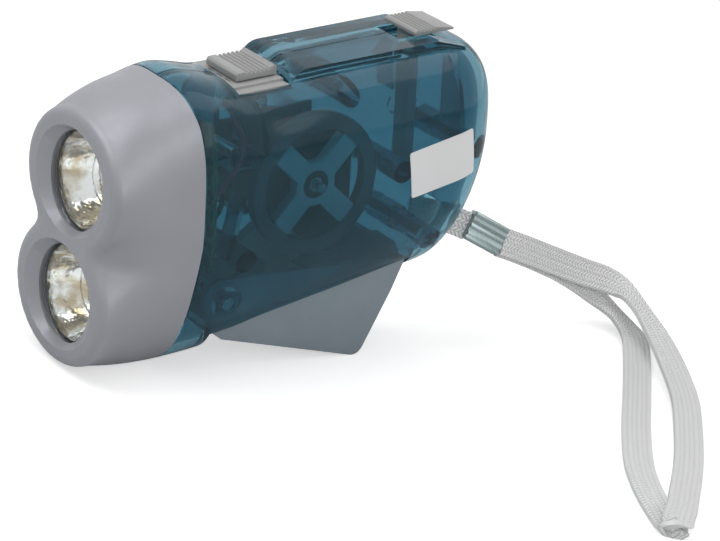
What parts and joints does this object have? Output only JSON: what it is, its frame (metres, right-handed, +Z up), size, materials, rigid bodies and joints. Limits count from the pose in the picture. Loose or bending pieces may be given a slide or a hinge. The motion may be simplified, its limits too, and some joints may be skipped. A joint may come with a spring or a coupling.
{
  "type": "hand-crank flashlight",
  "caption": "Palm-sized squeeze dynamo flashlight: glossy translucent teal clamshell, silver twin-lamp head, grey squeeze lever on a gear train and flywheel, and a flat wrist strap.",
  "frame": {"origin": "middle of the footprint of the torch without its strap, on the table it stands on", "axes": "X points the way the lamps shine, Y to the torch's left side, which is the labelled one, and Z up; the torch leans nose down by about ten degrees, as it stands on its belly and on the lever's corner"},
  "size_m": [0.1594, 0.1275, 0.0758],
  "materials": {
    "silver_plastic": "satin metallic silver-grey moulding",
    "teal_plastic": "glossy translucent teal-blue moulding",
    "warm_grey_plastic": "fine matte",
    "lever_grey_plastic": "cool grey, matte",
    "chromed_plastic": "vacuum-metallised bowl",
    "clear_plastic": "clear moulded disc",
    "led_resin": "clear resin dome",
    "circuit_board": "green lacquered laminate",
    "black_plastic": "black moulding",
    "bright_steel": "bright plated steel",
    "core_steel": "dark stamped plates",
    "brass": "turned brass",
    "copper_winding": null,
    "nylon": "natural nylon",
    "ferrite": "dull sintered ferrite",
    "red_insulation": "soft insulation",
    "black_insulation": "soft insulation",
    "capacitor_sleeve": "shrink sleeve",
    "label_paper": "blank coated paper",
    "strap_braid": "flat braided polyester"
  },
  "bodies": {
    "torch": {"head_bezel": "silver_plastic", "upper_lens": "clear_plastic", "upper_reflector": "chromed_plastic", "upper_led": "led_resin", "lower_lens": "clear_plastic", "lower_reflector": "chromed_plastic", "lower_led": "led_resin", "led_board": "circuit_board", "left_housing": "teal_plastic", "right_housing": "teal_plastic", "switch_plate": "warm_grey_plastic", "slide_switch_body": "bright_steel", "lever_pivot_pin": "bright_steel", "first_gear_axle": "bright_steel", "second_gear_axle": "bright_steel", "stator_core": "core_steel", "coil_bobbin": "black_plastic", "coil_winding": "copper_winding", "left_frame_plate": "bright_steel", "right_frame_plate": "bright_steel", "front_frame_spacer": "brass", "rear_frame_spacer": "brass", "circuit_board": "circuit_board", "bridge_rectifier": "black_plastic", "smoothing_capacitor": "capacitor_sleeve", "rechargeable_cell": "bright_steel", "cell_contact": "brass", "red_wire": "red_insulation", "black_wire": "black_insulation", "housing_screw_1": "bright_steel", "housing_screw_2": "bright_steel", "housing_screw_3": "bright_steel", "housing_screw_4": "bright_steel", "housing_screw_5": "bright_steel", "side_label": "label_paper", "strap_stub": "strap_braid", "strap_crimp": "bright_steel", "wrist_strap": "strap_braid"},
    "lever": {"lever": "lever_grey_plastic", "lever_sector_gear": "nylon", "lever_return_spring": "bright_steel"},
    "first_gear": {"first_pinion": "nylon", "first_gear": "nylon"},
    "second_gear": {"second_pinion": "brass", "second_gear": "nylon"},
    "drive_pinion": {"rotor_pinion": "brass"},
    "rotor": {"rotor_shaft": "bright_steel", "rotor_magnet": "ferrite", "flywheel": "bright_steel"},
    "switch_button": {"switch_button": "warm_grey_plastic", "slide_switch_actuator": "black_plastic"},
    "lock_slider": {"lock_slider": "warm_grey_plastic"}
  },
  "joints": [
    {"name": "lever_squeeze", "type": "hinge", "parent": "torch", "child": "lever", "pos_m": [0.01529, -0.00014, 0.01685], "axis": [0, 1, 0], "range_deg": [0, 24], "stiffness_Nm_per_rad": 0.5, "springref_deg": -6.88},
    {"name": "first_gear_turn", "type": "hinge", "parent": "torch", "child": "first_gear", "pos_m": [-0.01352, -0.00014, 0.02829], "axis": [0, 1, 0], "continuous": true},
    {"name": "second_gear_turn", "type": "hinge", "parent": "torch", "child": "second_gear", "pos_m": [-0.01117, -0.00014, 0.03852], "axis": [0, 1, 0], "continuous": true},
    {"name": "pinion_turn", "type": "hinge", "parent": "torch", "child": "drive_pinion", "pos_m": [-0.00182, -0.00014, 0.04329], "axis": [0, 1, 0], "continuous": true},
    {"name": "rotor_turn", "type": "hinge", "parent": "torch", "child": "rotor", "pos_m": [-0.00182, -0.00014, 0.04329], "axis": [0, 1, 0], "continuous": true},
    {"name": "switch_slide", "type": "slide", "parent": "torch", "child": "switch_button", "axis": [0.9859, 0, -0.1676], "range_m": [0, 0.002]},
    {"name": "lock_slide", "type": "slide", "parent": "torch", "child": "lock_slider", "axis": [0.9859, 0, -0.1676], "range_m": [0, 0.0032]}
  ],
  "couplings": [
    {"joint": "first_gear_turn", "follows": "lever_squeeze", "ratio": -5.2},
    {"joint": "second_gear_turn", "follows": "lever_squeeze", "ratio": 16.64},
    {"joint": "pinion_turn", "follows": "lever_squeeze", "ratio": -53.248}
  ]
}
